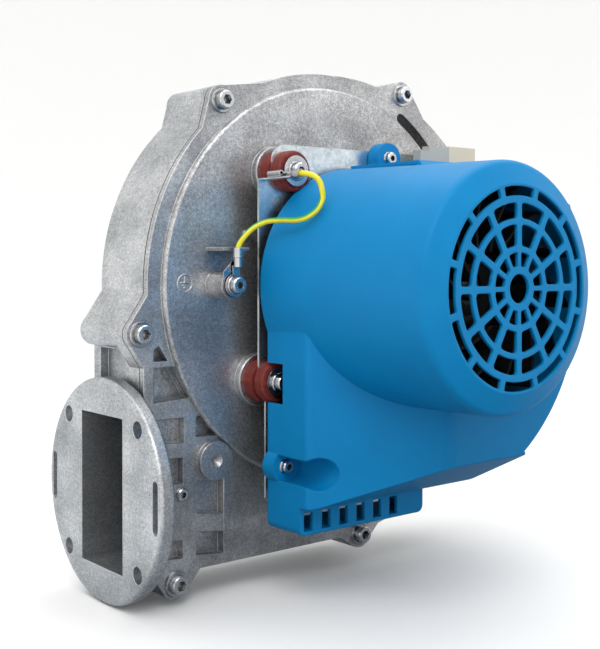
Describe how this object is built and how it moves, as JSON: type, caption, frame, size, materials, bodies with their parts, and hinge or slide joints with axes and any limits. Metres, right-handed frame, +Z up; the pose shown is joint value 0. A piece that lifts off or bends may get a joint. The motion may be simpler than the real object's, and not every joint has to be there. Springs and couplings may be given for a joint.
{
  "type": "dc blower fan",
  "caption": "scroll blower with a side outlet flange, radial impeller, rubber-mounted outer-rotor motor, vented plastic motor cover and earth lead",
  "frame": {"origin": "centre of the intake on the back face of the scroll, in the plane where a mixer or intake adapter is bolted on", "axes": "+Z up with the outlet at the lower left; -Y runs along the shaft to the motor, so +Y leaves the intake face; the outlet faces -X"},
  "size_m": [0.2841, 0.2304, 0.2923],
  "materials": {
    "cast_shell": "die-cast, fine grain",
    "cast_front": "die-cast, fine grain",
    "turned_aluminium": "turned",
    "seal_rubber": "matt",
    "bush_rubber": "matt",
    "zinc_steel": "zinc plated",
    "zinc_plate": "zinc plated sheet",
    "bearing_steel": "ground",
    "core_steel": "laminated",
    "copper_wire": "enamelled",
    "hub_brass": "turned",
    "magnet_ferrite": "sintered",
    "black_plastic": "moulded",
    "circuit_board": "lacquered",
    "grey_connector": "moulded",
    "cream_connector": "moulded",
    "blue_plastic": "moulded, fine grain",
    "lead_sleeve": "extruded sleeve, yellow and green"
  },
  "bodies": {
    "stand": {"scroll_housing": "cast_shell", "front_plate": "cast_front", "housing_gasket": "seal_rubber", "cover_screws": "zinc_steel", "duct_plug_screw": "zinc_steel", "intake_nozzle": "turned_aluminium", "nozzle_screws": "zinc_steel", "shaft_seal": "seal_rubber", "bearing_tube": "turned_aluminium", "tube_screws": "zinc_steel", "bearing_outer_races": "bearing_steel", "motor_plate": "zinc_plate", "upper_bush": "bush_rubber", "lower_bush": "bush_rubber", "right_bush": "bush_rubber", "bush_sleeves": "zinc_steel", "bush_washers": "zinc_steel", "bush_screws": "zinc_steel", "stator_core": "core_steel", "stator_windings": "copper_wire", "electronics_tray": "black_plastic", "cover_pillars": "zinc_steel", "control_board": "circuit_board", "board_screws": "zinc_steel", "smoothing_capacitors": "black_plastic", "line_choke": "copper_wire", "heat_sink": "turned_aluminium", "power_switches": "black_plastic", "power_connector": "grey_connector", "signal_connector": "cream_connector", "motor_cover": "blue_plastic", "cover_lug_screws": "zinc_steel", "earth_lead": "lead_sleeve", "spade_receptacle": "zinc_steel", "earth_tab_plate": "zinc_steel", "earth_ring_terminal": "zinc_steel", "earth_lock_washer": "zinc_steel", "earth_screw": "zinc_steel"},
    "rotor": {"impeller_wheel": "turned_aluminium", "impeller_shroud": "turned_aluminium", "impeller_hub": "hub_brass", "impeller_nut": "zinc_steel", "motor_shaft": "bearing_steel", "bearing_inner_races": "bearing_steel", "bearing_balls": "bearing_steel", "rotor_bell": "core_steel", "rotor_magnets": "magnet_ferrite", "cooling_fan": "black_plastic"}
  },
  "joints": [
    {"name": "rotor_spin", "type": "hinge", "parent": "stand", "child": "rotor", "pos_m": [0, -0.1, 0], "axis": [0, 1, 0], "continuous": true}
  ]
}
